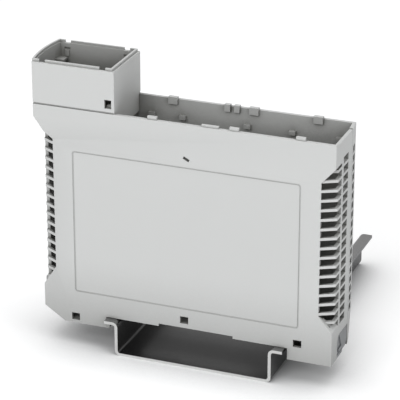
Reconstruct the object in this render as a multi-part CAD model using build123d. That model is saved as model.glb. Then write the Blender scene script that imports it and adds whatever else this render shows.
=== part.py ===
from build123d import *
import os

# All sizes are millimetres. Inside the functions X runs from the housing's left face, Y from its
# front face and Z from the bottom of its feet; place() moves a piece to the rail's own origin.

# Clearances
SLIDE_GAP = 0.3
PLUG_GAP = 0.15
SEAT_GAP = 0.1
CUT_OVER = 1.0

# Rail: folded sheet, measured over the lips, over the channel, in height and in length
RAIL_WIDTH = 74.0
RAIL_CHANNEL = 65.1
RAIL_HEIGHT = 14.25
RAIL_LENGTH = 117.0
RAIL_SHEET = 1.2
RAIL_BEND = 1.0
RAIL_FRONT = 3.5

# Housing
FOOT_RIGHT = 17.8
CASE_DEPTH = 26.0
BODY_HEIGHT = 90.7
BACK_STRIP = 5.0
WALL = 1.3
PLATE = 1.4
EDGE_ROUND = 0.5
SEAM_WIDTH = 0.3
SEAM_DEPTH = 0.25
RIM_DROP = 1.7
LEFT_BOW = 1.5

# Left end and feet, seen from the front, with the head's edges measured down from the rim
HEAD_DROP = 5.1
HEAD_SLOPE_X = 3.9
HEAD_SLOPE_DROP = 10.5
SIDE_LEFT = 3.5
SIDE_LEFT_LOW = 17.7
HEEL_LEFT = 2.8
HEEL_RISE = 5.6
FOOT_LEFT = 11.3
BACK_HEEL = 4.0

# Rail recess and fixed hook
RECESS_LEFT = 29.2
RECESS_DEPTH = 4.75
RECESS_STEP = 1.05
STEP_INSET = 22.3
RECESS_SIDE_GAP = 0.5
RECESS_FREE = 0.9
HOOK_REACH = 1.5
HOOK_ROUND = 0.6

# Ventilation slots and the bevelled vent corners
VENT_PITCH = 3.88
VENT_OPEN = 2.8
VENT_START = 21.6
VENT_WALL = 1.65
BEVEL_WIDTH = 5.6
BEVEL_DEPTH = 2.8
BEVEL_LEFT = 8.0
BEVEL_LEFT_DEPTH = 2.4
BEVEL_LOW = 20.5
BEVEL_DROP = 17.7
SIDE_STEP = 0.4
SIDE_STEP_LOW = 13.0
SIDE_STEP_DROP = 8.3
COLUMN_ONE_END = 9.4
COLUMN_TWO_START = 11.3
COLUMN_TWO_MARGIN = 4.0
COLUMN_THREE_MARGIN = 1.2
SHORT_SLOT = 4.6
LEFT_WRAP = 4.2

# Label recess, sight hole and snap windows on the front face
LABEL_X = (16.0, 109.0)
LABEL_LOW = 13.8
LABEL_DROP = 17.2
LABEL_CORNER = 2.5
LABEL_DEPTH = 0.4
SIGHT_X = 63.2
SIGHT_DROP = 13.9
SIGHT_SIZE = (2.6, 1.1)
SIGHT_TILT = -28.0
WINDOW_SIZE = (3.4, 3.0)
WINDOWS_AT = ((16.1, 2.7), (62.2, 9.1), (108.6, 7.3))
ARM_THICK = 1.3
ARM_WIDTH = 2.8
BARB_SET = 0.7
BARB_RISE = 0.8
BARB_LENGTH = 1.6

# Cover tabs on the rim and support pegs on the back wall
TAB_RISE = 1.8
TAB_THICK = 1.1
TAB_ROOT = 2.0
TAB_WIDTH = 3.7
FRONT_TABS_AT = (49.2, 82.2, 108.4)
FRONT_RIDGE = (69.2, 76.0)
RIDGE_RISE = 1.0
BACK_TABS_AT = (48.4, 81.6, 107.4)
BACK_RIDGE = (69.7, 75.8)
BACK_TAB_RISE = 1.1
PEGS_AT = (39.7, 52.4, 78.9, 97.2, 116.0)
PEG_DROP = 7.1
PEG_WIDTH = 2.5
PEG_REACH = 1.5

# Tower
TOWER_WIDTH = 34.0
TOWER_RISE = 17.0
LEDGE_WIDTH = 1.0
LIP_RISE = 0.9
LIP_THICK = 0.8
LIP_ROOT = 0.7
NOTCH_WIDTH = 2.2
NOTCH_MARGIN = 3.9
POCKET_WIDTH = 2.5
POCKET_DEPTH = 0.7
POCKET_HEIGHT = 1.2
POCKET_DROP = 2.2
TAB_PAD_HEIGHT = 2.5
SKIRT_DROP = 4.7
SKIRT_THICK = 1.0
PARTITION_DROP = 7.0
SHELF_SIZE = (3.7, 7.0, 1.2)
SHELF_DROP = 5.6
TOWER_WINDOW_X = 31.4
TOWER_WINDOW_RISE = 3.8
TOWER_WINDOW = (2.8, 3.5)
POST_WIDTH = 2.2
POST_THICK = 1.2

# Foot catch and its spring
CATCH_START = 9.6
CATCH_MARGIN = 2.6
CATCH_PLATE = 1.5
CATCH_BITE = 1.1
CATCH_TOP = 6.5
CATCH_DROP = 2.0
CATCH_ROUND = 1.6
CATCH_HOLE = 2.0
LUG_RISE = 3.6
LUG_AT = 5.6
STOP_THICK = 1.2
STOP_HEIGHT = 5.2
CUTOUT_Y = 8.5
CUTOUT_TOP = 8.6
CUTOUT_RISE = 1.8
SPRING_LENGTH = 5.4
SPRING_WIRE = 0.5
SPRING_RADIUS = 1.5
SPRING_TURNS = 4

# Positions worked out from the sizes above
RAIL_LEFT = RECESS_LEFT + RECESS_SIDE_GAP
RAIL_RIGHT = RAIL_LEFT + RAIL_WIDTH
RECESS_RIGHT = RAIL_RIGHT + RECESS_FREE
CASE_WIDTH = RECESS_RIGHT + FOOT_RIGHT
SHELL_SPLIT = CASE_DEPTH - BACK_STRIP
HEAD_LOW = BODY_HEIGHT - HEAD_DROP
HEAD_SLOPE_Z = BODY_HEIGHT - HEAD_SLOPE_DROP
BEVEL_HIGH = BODY_HEIGHT - BEVEL_DROP
SIDE_STEP_HIGH = BODY_HEIGHT - SIDE_STEP_DROP
VENT_ROWS = 1 + int((BEVEL_HIGH - VENT_START) / VENT_PITCH)
COLUMN_TWO = (COLUMN_TWO_START, SHELL_SPLIT - COLUMN_TWO_MARGIN)
COLUMN_THREE = (SHELL_SPLIT + COLUMN_THREE_MARGIN, CASE_DEPTH - PLATE)
LABEL_Z = (LABEL_LOW, BODY_HEIGHT - LABEL_DROP)
SIGHT_AT = (SIGHT_X, BODY_HEIGHT - SIGHT_DROP)
PEG_HEIGHT = BODY_HEIGHT - PEG_DROP
TOWER_WINDOW_AT = (TOWER_WINDOW_X, BODY_HEIGHT + TOWER_WINDOW_RISE)
CATCH_Y = (CATCH_START, SHELL_SPLIT - CATCH_MARGIN)
LIP_TOP = RECESS_DEPTH - SEAT_GAP
LIP_UNDER = LIP_TOP - RAIL_SHEET
RAIL_FLOOR = LIP_TOP - RAIL_HEIGHT
HOOK_TOP = LIP_UNDER - SLIDE_GAP
SIDE_RIGHT = CASE_WIDTH - SIDE_STEP
TOWER_TOP = BODY_HEIGHT + TOWER_RISE
CATCH_FLOOR = WALL + SLIDE_GAP
CATCH_ROOF = LIP_UNDER - SLIDE_GAP
CATCH_OUTER = SIDE_RIGHT
CATCH_NOSE = RAIL_RIGHT - CATCH_BITE
LUG_X = RECESS_RIGHT + LUG_AT
STOP_X = LUG_X + CATCH_PLATE + SPRING_LENGTH
SPRING_Y = (CATCH_Y[0] + CATCH_Y[1]) / 2
SPRING_Z = CATCH_ROOF + SPRING_RADIUS + SPRING_WIRE / 2 + PLUG_GAP


def block(x, y, z):
    """Rectangular solid between three pairs of coordinates."""
    corner = (Align.MIN, Align.MIN, Align.MIN)
    return Pos(x[0], y[0], z[0]) * Box(x[1] - x[0], y[1] - y[0], z[1] - z[0], align=corner)


def slab(sketch, y):
    """Solid with the given front view between two depths."""
    return extrude(Plane.XZ.offset(-y[1]) * sketch, y[1] - y[0], dir=(0, -1, 0))


def column(points, z):
    """Solid with the given plan view between two heights."""
    return extrude(Pos(0, 0, z[0]) * Polygon(*points, align=None), z[1] - z[0], dir=(0, 0, 1))


def outline(points):
    """Flat shape through the given points."""
    return Polygon(*points, align=None)


def span(centre, width):
    """The two ends of a width set about a centre."""
    return (centre - width / 2, centre + width / 2)


def place(shape):
    """Move a piece from the housing corner to the centre of the rail's underside."""
    return Pos(-(RAIL_LEFT + RAIL_RIGHT) / 2, RAIL_FRONT - RAIL_LENGTH / 2, -RAIL_FLOOR) * shape


def case_points(top):
    """Front view of the housing without its hook, carried up to the given height."""
    slope = HEAD_SLOPE_X / (HEAD_LOW - HEAD_SLOPE_Z)
    step = RECESS_DEPTH + RECESS_STEP
    return [
        (FOOT_LEFT, 0), (RECESS_LEFT, 0), (RECESS_LEFT, RECESS_DEPTH),
        (RECESS_LEFT + STEP_INSET, RECESS_DEPTH), (RECESS_LEFT + STEP_INSET, step),
        (RECESS_RIGHT - STEP_INSET, step), (RECESS_RIGHT - STEP_INSET, RECESS_DEPTH),
        (RECESS_RIGHT, RECESS_DEPTH), (RECESS_RIGHT, 0), (CASE_WIDTH, 0),
        (CASE_WIDTH, SIDE_STEP_LOW), (SIDE_RIGHT, SIDE_STEP_LOW + SIDE_STEP),
        (SIDE_RIGHT, SIDE_STEP_HIGH - SIDE_STEP), (CASE_WIDTH, SIDE_STEP_HIGH), (CASE_WIDTH, top),
        (-LEFT_BOW, top), (-LEFT_BOW, HEAD_LOW + LEFT_BOW / slope), (HEAD_SLOPE_X, HEAD_SLOPE_Z),
        (SIDE_LEFT, SIDE_LEFT_LOW), (HEEL_LEFT, SIDE_LEFT_LOW - SIDE_LEFT + HEEL_LEFT),
        (HEEL_LEFT, HEEL_RISE),
    ]


def bowed_plan(inset, x_right, z):
    """Upright solid whose left face bows outward in plan."""
    front = Vector(inset, inset if inset else 0)
    back = Vector(inset, CASE_DEPTH - front.Y)
    bow = ThreePointArc(back, (inset - LEFT_BOW, CASE_DEPTH / 2), front)
    rest = Polyline(front, (x_right, front.Y), (x_right, back.Y), back)
    return extrude(Pos(0, 0, z[0]) * make_face(Curve() + [bow, rest]), z[1] - z[0], dir=(0, 0, 1))


def round_front(body, radius):
    """Round the edges of the front face, apart from the open rim."""
    face = body.faces().sort_by(Axis.Y)[0]
    edges = [edge for edge in face.edges() if edge.center().Z < BODY_HEIGHT - radius]
    return fillet(edges, radius)


def outer_body():
    """The two shells together as one solid lump with its hook."""
    body = slab(outline(case_points(BODY_HEIGHT)), (0, CASE_DEPTH))
    body &= bowed_plan(0, CASE_WIDTH + CUT_OVER, (-CUT_OVER, BODY_HEIGHT + CUT_OVER))
    hook = slab(outline([
        (RECESS_LEFT - WALL, 0), (RECESS_LEFT + HOOK_REACH - HOOK_ROUND, 0),
        (RECESS_LEFT + HOOK_REACH, HOOK_ROUND), (RECESS_LEFT + HOOK_REACH, HOOK_TOP),
        (RECESS_LEFT - WALL, HOOK_TOP),
    ]), (0, CASE_DEPTH))
    return round_front(body, EDGE_ROUND) + hook


def cavity():
    """The space inside the shells, open at the top."""
    inner = offset(outline(case_points(BODY_HEIGHT + 4 * CUT_OVER)), -WALL, kind=Kind.INTERSECTION)
    space = slab(inner, (PLATE, CASE_DEPTH - PLATE))
    return space & bowed_plan(WALL, CASE_WIDTH, (0, BODY_HEIGHT + CUT_OVER))


def bevel_zone_right(inset):
    """Front view of the right vent corner, bounded by two diagonals."""
    edge = CASE_WIDTH - BEVEL_WIDTH - inset
    reach = BEVEL_WIDTH + inset + CUT_OVER
    return outline([
        (edge, BEVEL_LOW - inset), (edge, BEVEL_HIGH + inset),
        (edge + reach, BEVEL_HIGH + inset + reach), (edge + reach, BEVEL_LOW - inset - reach),
    ])


def bevel_zone_left(inset):
    """Front view of the left vent corner, bounded by two diagonals."""
    edge = BEVEL_LEFT + inset
    reach = BEVEL_LEFT + inset
    return outline([
        (edge, BEVEL_LOW - inset), (edge - reach, BEVEL_LOW - inset - reach),
        (edge - reach, BEVEL_HIGH + inset + reach), (edge, BEVEL_HIGH + inset),
    ])


def wedge(edge, corner, depth, shift):
    """Upright wedge outside a bevel plane that is moved inward by the given shift."""
    slope = depth / abs(corner - edge)
    side = 1 if corner > edge else -1
    near = -CUT_OVER
    start = edge - side * (shift * (1 + slope ** 2) ** 0.5 + CUT_OVER) / slope
    far = corner + side * CUT_OVER
    y_far = (far - start) * side * slope - CUT_OVER
    return column([(start, near), (far, near), (far, y_far)], (0, BODY_HEIGHT))


def corner_fill(zone, edge, corner, depth):
    """Extra thickness behind a vent bevel."""
    inside = block((WALL, SIDE_RIGHT - WALL), (PLATE / 2, CASE_DEPTH / 2), (0, BODY_HEIGHT))
    inside += block((SIDE_LEFT, SIDE_RIGHT), (PLATE / 2, CASE_DEPTH / 2), (0, BODY_HEIGHT))
    return wedge(edge, corner, depth, VENT_WALL) & slab(zone, (0, CASE_DEPTH / 2)) & inside


def row_z(row):
    """Lower and upper edge of one row of slots."""
    low = VENT_START + VENT_PITCH * row
    return (low, low + VENT_OPEN)


def side_slots(x, y, rows):
    """Slots of one column in an end wall."""
    return [block(x, y, row_z(row)) for row in rows]


def right_slots():
    """Every slot of the right end."""
    x_side = (SIDE_RIGHT - VENT_WALL - SLIDE_GAP, CASE_WIDTH + CUT_OVER)
    rows = range(-2, VENT_ROWS + 2)
    inner = range(-1, VENT_ROWS + 1)
    edge = CASE_WIDTH - BEVEL_WIDTH
    corner = Part() + side_slots((edge, CASE_WIDTH + CUT_OVER), (-CUT_OVER, COLUMN_ONE_END), inner)
    cuts = [corner & slab(bevel_zone_right(0), (-CUT_OVER, CASE_DEPTH))]
    cuts += side_slots(x_side, (BEVEL_DEPTH, COLUMN_ONE_END), inner)
    cuts += side_slots(x_side, (SHORT_SLOT, COLUMN_ONE_END), (-2, VENT_ROWS + 1))
    cuts += side_slots(x_side, COLUMN_TWO, rows)
    cuts += side_slots(x_side, COLUMN_THREE, rows)
    return Part() + cuts


def left_slots():
    """Every slot of the left end."""
    x_side = (0, HEAD_SLOPE_X + VENT_WALL)
    rows = range(0, VENT_ROWS)
    corner = Part() + side_slots((0, BEVEL_LEFT), (-CUT_OVER, LEFT_WRAP), range(-1, VENT_ROWS + 1))
    cuts = [corner & slab(bevel_zone_left(0), (-CUT_OVER, CASE_DEPTH))]
    cuts += side_slots(x_side, COLUMN_TWO, rows)
    cuts += side_slots(x_side, COLUMN_THREE, rows)
    return Part() + cuts


def bevels():
    """Material removed from the two vent corners."""
    right = wedge(CASE_WIDTH - BEVEL_WIDTH, SIDE_RIGHT, BEVEL_DEPTH, 0)
    left = wedge(BEVEL_LEFT, SIDE_LEFT, BEVEL_LEFT_DEPTH, 0)
    return (right & slab(bevel_zone_right(0), (-CUT_OVER, CASE_DEPTH))) + (
        left & slab(bevel_zone_left(0), (-CUT_OVER, CASE_DEPTH)))


def face_details():
    """Label recess, sight hole and snap windows cut from the front face."""
    label = RectangleRounded(LABEL_X[1] - LABEL_X[0], LABEL_Z[1] - LABEL_Z[0], LABEL_CORNER)
    middle = Pos((LABEL_X[0] + LABEL_X[1]) / 2, (LABEL_Z[0] + LABEL_Z[1]) / 2)
    cuts = [slab(middle * label, (-CUT_OVER, LABEL_DEPTH))]
    cuts.append(slab(Pos(*SIGHT_AT) * Rot(0, 0, SIGHT_TILT) * Rectangle(*SIGHT_SIZE), (-CUT_OVER, PLATE + CUT_OVER)))
    for x, z in WINDOWS_AT:
        cuts.append(block(span(x, WINDOW_SIZE[0]), (-CUT_OVER, PLATE + CUT_OVER), span(z, WINDOW_SIZE[1])))
    return Part() + cuts


def catch_openings():
    """Cut-outs in the right foot for the catch."""
    y = (CATCH_Y[0] - SLIDE_GAP, CATCH_Y[1] + SLIDE_GAP)
    throat = block((RECESS_RIGHT - CUT_OVER, RECESS_RIGHT + WALL + CUT_OVER), y, (WALL, CATCH_ROOF + SLIDE_GAP))
    floor = block((CATCH_OUTER - CATCH_PLATE - 2 * SLIDE_GAP, CASE_WIDTH + CUT_OVER), (y[0], SHELL_SPLIT), (-CUT_OVER, WALL + CUT_OVER))
    side = Plane.YZ.offset(CASE_WIDTH - WALL - CUT_OVER) * outline([
        (CUTOUT_Y, -CUT_OVER), (CUTOUT_Y, CUTOUT_TOP - 2 * CUT_OVER), (CUTOUT_Y + CUT_OVER, CUTOUT_TOP),
        (SHELL_SPLIT, CUTOUT_TOP + CUTOUT_RISE), (SHELL_SPLIT, -CUT_OVER),
    ])
    return throat + floor + extrude(side, WALL + 2 * CUT_OVER, dir=(1, 0, 0))


def seam_groove():
    """Shallow parting line around the outside of the housing."""
    ring = block((-2 * LEFT_BOW, CASE_WIDTH + CUT_OVER), span(SHELL_SPLIT, SEAM_WIDTH), (-CUT_OVER, BODY_HEIGHT + CUT_OVER))
    core = offset(outline(case_points(BODY_HEIGHT + 4 * CUT_OVER)), -SEAM_DEPTH, kind=Kind.INTERSECTION)
    return ring - slab(core, (0, CASE_DEPTH))


def shells():
    """Front and back halves before their small fittings are added."""
    body = outer_body() - cavity()
    body += corner_fill(bevel_zone_right(0), CASE_WIDTH - BEVEL_WIDTH, SIDE_RIGHT, BEVEL_DEPTH)
    body += corner_fill(bevel_zone_left(0), BEVEL_LEFT, SIDE_LEFT, BEVEL_LEFT_DEPTH)
    body -= bevels()
    body -= right_slots()
    body -= left_slots()
    rim = (CASE_WIDTH - 2 * WALL, CASE_WIDTH + CUT_OVER)
    body -= block(rim, (PLATE, CASE_DEPTH - PLATE), (BODY_HEIGHT - RIM_DROP, BODY_HEIGHT + CUT_OVER))
    body -= seam_groove()
    everything = (-2 * CASE_WIDTH, 2 * CASE_WIDTH)
    front = body & block(everything, (-CUT_OVER, SHELL_SPLIT), everything)
    back = body & block(everything, (SHELL_SPLIT, CASE_DEPTH + CUT_OVER), everything)
    return front, back


def front_tabs():
    """Cover tabs standing on the front rim."""
    y = (PLATE - TAB_THICK / 2, PLATE + TAB_THICK / 2)
    tabs = [block(span(x, TAB_WIDTH), y, (BODY_HEIGHT - TAB_ROOT, BODY_HEIGHT + TAB_RISE)) for x in FRONT_TABS_AT]
    tabs.append(block(FRONT_RIDGE, y, (BODY_HEIGHT - TAB_ROOT, BODY_HEIGHT + RIDGE_RISE)))
    return tabs


def back_tabs():
    """Cover tabs and board pegs on the inside of the back wall."""
    inner = CASE_DEPTH - PLATE
    y = (inner - TAB_THICK, inner + PLATE / 2)
    z = (BODY_HEIGHT - TAB_ROOT, BODY_HEIGHT + BACK_TAB_RISE)
    tabs = [block(span(x, TAB_WIDTH), y, z) for x in BACK_TABS_AT]
    tabs.append(block(BACK_RIDGE, y, z))
    for x in PEGS_AT:
        tabs.append(block(span(x, PEG_WIDTH), (inner - PEG_REACH, inner + PLATE / 2), span(PEG_HEIGHT, PEG_REACH)))
    return tabs


def tower_post():
    """Post of the front shell whose nub locks into the tower's window."""
    x = span(TOWER_WINDOW_AT[0], POST_WIDTH)
    y = (PLATE + PLUG_GAP, PLATE + PLUG_GAP + POST_THICK)
    z_nub = span(TOWER_WINDOW_AT[1], TOWER_WINDOW[1] - 2 * SLIDE_GAP)
    post = block(x, y, (BODY_HEIGHT - SKIRT_DROP, z_nub[1]))
    root = block(x, (PLATE / 2, y[1]), (BODY_HEIGHT - SKIRT_DROP, BODY_HEIGHT - 2 * SLIDE_GAP))
    nub = block(x, (BARB_SET, y[1]), z_nub)
    return post + root + nub


def spring_stop():
    """Rib of the right foot that backs the catch spring."""
    x = (STOP_X, STOP_X + STOP_THICK)
    z = (CATCH_ROOF + SLIDE_GAP, CATCH_ROOF + SLIDE_GAP + STOP_HEIGHT)
    return block(x, (PLATE / 2, CATCH_Y[1]), z)


def front_shell(shell):
    """Front half: face, end walls and fittings."""
    shell += front_tabs()
    shell += tower_post()
    shell += spring_stop()
    shell -= face_details()
    shell -= catch_openings()
    return shell


def snap_arms():
    """Long arms of the back shell with barbs that catch in the windows."""
    arms = []
    for x, z in WINDOWS_AT:
        low = z - WINDOW_SIZE[1] / 2 + SLIDE_GAP
        wide = span(x, ARM_WIDTH)
        arms.append(block(wide, (PLATE + SLIDE_GAP, CASE_DEPTH - PLATE / 2), (low, low + ARM_THICK)))
        arms.append(block(wide, (BARB_SET, PLATE + SLIDE_GAP), (low, low + ARM_THICK)))
        arms.append(block(wide, (BARB_SET, BARB_SET + BARB_LENGTH), (low, low + ARM_THICK + BARB_RISE)))
    return arms


def back_heel():
    """Material outside the rounded lower edge of the back plate."""
    corner = Pos(CASE_DEPTH, 0) * Rectangle(2 * BACK_HEEL, 2 * BACK_HEEL)
    corner -= Pos(CASE_DEPTH - BACK_HEEL, BACK_HEEL) * Circle(BACK_HEEL)
    return extrude(Plane.YZ.offset(-CUT_OVER) * corner, CASE_WIDTH + 2 * CUT_OVER, dir=(1, 0, 0))


def back_shell(shell):
    """Back half: plate, strips of the end walls and snap arms."""
    shell += back_tabs()
    shell += snap_arms()
    shell -= back_heel()
    return shell


def tower_ring(inset_out, inset_in, z):
    """Closed wall of the tower between two insets."""
    outer = bowed_plan(inset_out, TOWER_WIDTH - inset_out, z)
    inner = bowed_plan(inset_in, TOWER_WIDTH - inset_in, (z[0] - CUT_OVER, z[1] + CUT_OVER))
    return outer - inner


def lip_notches():
    """Notches in the raised lip with a pocket under each."""
    cuts = []
    for x in (NOTCH_MARGIN, TOWER_WIDTH - NOTCH_MARGIN - LIP_THICK):
        top = (TOWER_TOP, TOWER_TOP + LIP_RISE + CUT_OVER)
        cuts.append(block(span(x, NOTCH_WIDTH), (LEDGE_WIDTH - PLUG_GAP, LEDGE_WIDTH + LIP_THICK + CUT_OVER), top))
        back = CASE_DEPTH - LEDGE_WIDTH
        cuts.append(block(span(x, NOTCH_WIDTH), (back - LIP_THICK - CUT_OVER, back + PLUG_GAP), top))
        high = TOWER_TOP - LIP_ROOT - POCKET_DROP + POCKET_HEIGHT
        deep = CASE_DEPTH - WALL + POCKET_DEPTH
        cuts.append(block(span(x, POCKET_WIDTH), (CASE_DEPTH - WALL - CUT_OVER, deep), (high - POCKET_HEIGHT, high)))
        cuts.append(block(span(x, POCKET_WIDTH), (WALL - POCKET_DEPTH, WALL + CUT_OVER), (high - POCKET_HEIGHT, high)))
    return cuts


def tower_fittings():
    """Skirts, partition and small pads inside the tower."""
    inner_front = PLATE + PLUG_GAP
    inner_back = CASE_DEPTH - PLATE - PLUG_GAP
    right = (TOWER_WIDTH - WALL, TOWER_WIDTH)
    partition = block(right, (inner_front, inner_back), (BODY_HEIGHT - PARTITION_DROP, BODY_HEIGHT + WALL))
    skirt_x = (3 * WALL, TOWER_WINDOW_AT[0] - POST_WIDTH)
    z = (BODY_HEIGHT - SKIRT_DROP, BODY_HEIGHT + 2 * WALL)
    pieces = [partition]
    for y in ((inner_front, inner_front + SKIRT_THICK), (inner_back - SKIRT_THICK, inner_back)):
        pieces.append(block(skirt_x, y, z))
        bridge = (min(y[0], WALL / 2), y[1]) if y[0] < CASE_DEPTH / 2 else (y[0], CASE_DEPTH - WALL / 2)
        pieces.append(block(skirt_x, bridge, (BODY_HEIGHT + SLIDE_GAP, BODY_HEIGHT + 2 * WALL)))
    shelf_z = TOWER_TOP - SHELF_DROP
    back = CASE_DEPTH - WALL / 2
    pieces.append(block((WALL / 2, WALL + SHELF_SIZE[0]), (back - SHELF_SIZE[1], back), (shelf_z - SHELF_SIZE[2], shelf_z)))
    for x in (NOTCH_MARGIN, TOWER_WIDTH - NOTCH_MARGIN - LIP_THICK):
        top = TOWER_TOP - LIP_ROOT - POCKET_DROP - SLIDE_GAP
        pieces.append(block(span(x, POCKET_WIDTH), (back - WALL, back), (top - TAB_PAD_HEIGHT, top)))
    return pieces


def tower():
    """Raised frame at the left end with its ledge and inner lip."""
    wall = tower_ring(0, WALL, (BODY_HEIGHT, TOWER_TOP))
    outer_edges = [e for e in wall.edges().filter_by(Axis.Z) if e.center().Y < PLATE / 2]
    wall = fillet(outer_edges, EDGE_ROUND)
    lip = tower_ring(LEDGE_WIDTH, LEDGE_WIDTH + LIP_THICK, (TOWER_TOP - LIP_ROOT, TOWER_TOP + LIP_RISE))
    body = wall + lip
    body += tower_fittings()
    body -= tower_ring(-CUT_OVER, SEAM_DEPTH, (BODY_HEIGHT, BODY_HEIGHT + 2 * SEAM_DEPTH))
    body -= lip_notches()
    x, z = TOWER_WINDOW_AT
    body -= block(span(x, TOWER_WINDOW[0]), (-CUT_OVER, WALL + CUT_OVER), span(z, TOWER_WINDOW[1]))
    return body


def foot_catch():
    """Sliding catch: tongue, spring lug and outer pull plate."""
    tongue = block((CATCH_NOSE, CATCH_OUTER), CATCH_Y, (CATCH_FLOOR, CATCH_ROOF))
    nose = tongue.edges().filter_by(Axis.Y).sort_by(Axis.X)[:2].sort_by(Axis.Z)[:1]
    catch = chamfer(nose, (CATCH_ROOF - CATCH_FLOOR) / 2)
    catch += block((LUG_X, LUG_X + CATCH_PLATE), span(SPRING_Y, 2 * LUG_RISE), (CATCH_FLOOR, CATCH_ROOF + LUG_RISE))
    pull = block((CATCH_OUTER - CATCH_PLATE, CATCH_OUTER), CATCH_Y, (-CATCH_DROP, CATCH_TOP))
    corners = pull.edges().filter_by(Axis.X).sort_by(Axis.Z)[:2]
    catch += fillet(corners, CATCH_ROUND)
    hole = Plane.YZ.offset(CATCH_OUTER - 2 * CATCH_PLATE) * Pos(SPRING_Y, 0) * Circle(CATCH_HOLE / 2)
    return catch - extrude(hole, 3 * CATCH_PLATE, dir=(1, 0, 0))


def catch_spring():
    """Small compression spring between the lug and the rib."""
    height = SPRING_LENGTH - SPRING_WIRE
    path = Helix(pitch=height / SPRING_TURNS, height=height, radius=SPRING_RADIUS)
    wire = sweep(Plane(path @ 0, z_dir=path % 0) * Circle(SPRING_WIRE / 2), path=path, is_frenet=True)
    start = LUG_X + CATCH_PLATE + SPRING_WIRE / 2
    return Pos(start, SPRING_Y, SPRING_Z) * Rot(0, 90, 0) * wire


def rail_section():
    """Front view of the folded rail."""
    web_left = RAIL_LEFT + (RAIL_WIDTH - RAIL_CHANNEL) / 2
    web_right = RAIL_RIGHT - (RAIL_WIDTH - RAIL_CHANNEL) / 2
    inner_floor = RAIL_FLOOR + RAIL_SHEET
    outer = [(web_left, LIP_UNDER), (web_left, RAIL_FLOOR), (web_right, RAIL_FLOOR), (web_right, LIP_UNDER)]
    inner = [
        (web_right - RAIL_SHEET, LIP_TOP), (web_right - RAIL_SHEET, inner_floor),
        (web_left + RAIL_SHEET, inner_floor), (web_left + RAIL_SHEET, LIP_TOP),
    ]
    section = outline([(RAIL_LEFT, LIP_TOP), (RAIL_LEFT, LIP_UNDER)] + outer
                      + [(RAIL_RIGHT, LIP_UNDER), (RAIL_RIGHT, LIP_TOP)] + inner)
    wide = [outer[1], outer[2], inner[0], inner[3]]
    tight = [outer[0], outer[3], inner[1], inner[2]]
    for corners, radius in ((wide, RAIL_BEND + RAIL_SHEET), (tight, RAIL_BEND)):
        chosen = [v for v in section.vertices() if any((v.X - a) ** 2 + (v.Y - b) ** 2 < 0.01 for a, b in corners)]
        section = fillet(chosen, radius)
    return section


def rail():
    """Length of top-hat rail."""
    return slab(rail_section(), (-RAIL_FRONT, RAIL_LENGTH - RAIL_FRONT))


os.makedirs("parts", exist_ok=True)
front_half, back_half = shells()
for name, piece in {
    "front_shell": front_shell(front_half),
    "back_shell": back_shell(back_half),
    "tower": tower(),
    "foot_catch": foot_catch(),
    "catch_spring": catch_spring(),
    "rail": rail(),
}.items():
    export_step(place(piece), f"parts/{name}.step")
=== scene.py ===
"""Dresses a DIN rail enclosure: light grey housing, sliding foot catch and zinc plated rail."""

import logging
import math
from dataclasses import dataclass, field
from enum import Enum
from functools import cached_property
from typing import Any, Dict, List, Optional, Sequence, Tuple, Union

import bmesh
import bpy
from mathutils import Matrix, Vector


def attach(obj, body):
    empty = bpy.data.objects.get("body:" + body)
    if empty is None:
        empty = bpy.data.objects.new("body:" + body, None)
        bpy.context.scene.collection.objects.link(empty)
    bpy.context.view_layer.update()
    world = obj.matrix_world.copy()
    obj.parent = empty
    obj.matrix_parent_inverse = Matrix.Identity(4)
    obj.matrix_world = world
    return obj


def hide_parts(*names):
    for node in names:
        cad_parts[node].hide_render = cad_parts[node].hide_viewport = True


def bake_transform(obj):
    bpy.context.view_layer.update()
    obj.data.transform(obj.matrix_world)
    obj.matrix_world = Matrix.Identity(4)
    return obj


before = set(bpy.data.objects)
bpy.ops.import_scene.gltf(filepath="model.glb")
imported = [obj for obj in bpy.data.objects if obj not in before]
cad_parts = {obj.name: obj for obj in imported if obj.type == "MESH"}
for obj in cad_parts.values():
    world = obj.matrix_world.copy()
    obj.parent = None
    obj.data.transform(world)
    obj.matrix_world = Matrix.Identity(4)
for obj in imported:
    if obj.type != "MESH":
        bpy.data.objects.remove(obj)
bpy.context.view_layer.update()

Colour = Tuple[float, float, float]
Pair = Tuple[float, float]
Triple = Tuple[float, float, float]
Span = Tuple[Pair, Pair, Pair]

# Metres in a millimetre
MM = 0.001
# The housing's lower front left corner, in millimetres of the frame
ORIGIN = (-66.7, -55.0, 9.6)
# How far most cutting shapes reach past what they cut, in millimetres
PAST = 2.0
# Corners closer than this are one, in metres
WELD = 2e-6
# Faces that meet at less than this are one, in radians
FLAT = 0.01
# Edges sharper than this are softened, in degrees
CREASE = 35.0
BLACK = (0.0, 0.0, 0.0)
WHITE = (1.0, 1.0, 1.0)
LOG = logging.getLogger("din_rail_enclosure")


class Op(Enum):
    """Blender's names for the arithmetic that a socket takes part in."""

    ADD = "ADD"
    MULTIPLY = "MULTIPLY"
    GREATER = "GREATER_THAN"
    LARGER = "MAXIMUM"


class Axis(Enum):
    """The direction a flat outline is drawn out in, as the order of its coordinates."""

    X = (2, 0, 1)
    Y = (0, 2, 1)
    Z = (0, 1, 2)


class End(Enum):
    """An end of the housing, as the way it faces along X."""

    LEFT = -1
    RIGHT = 1


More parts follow.
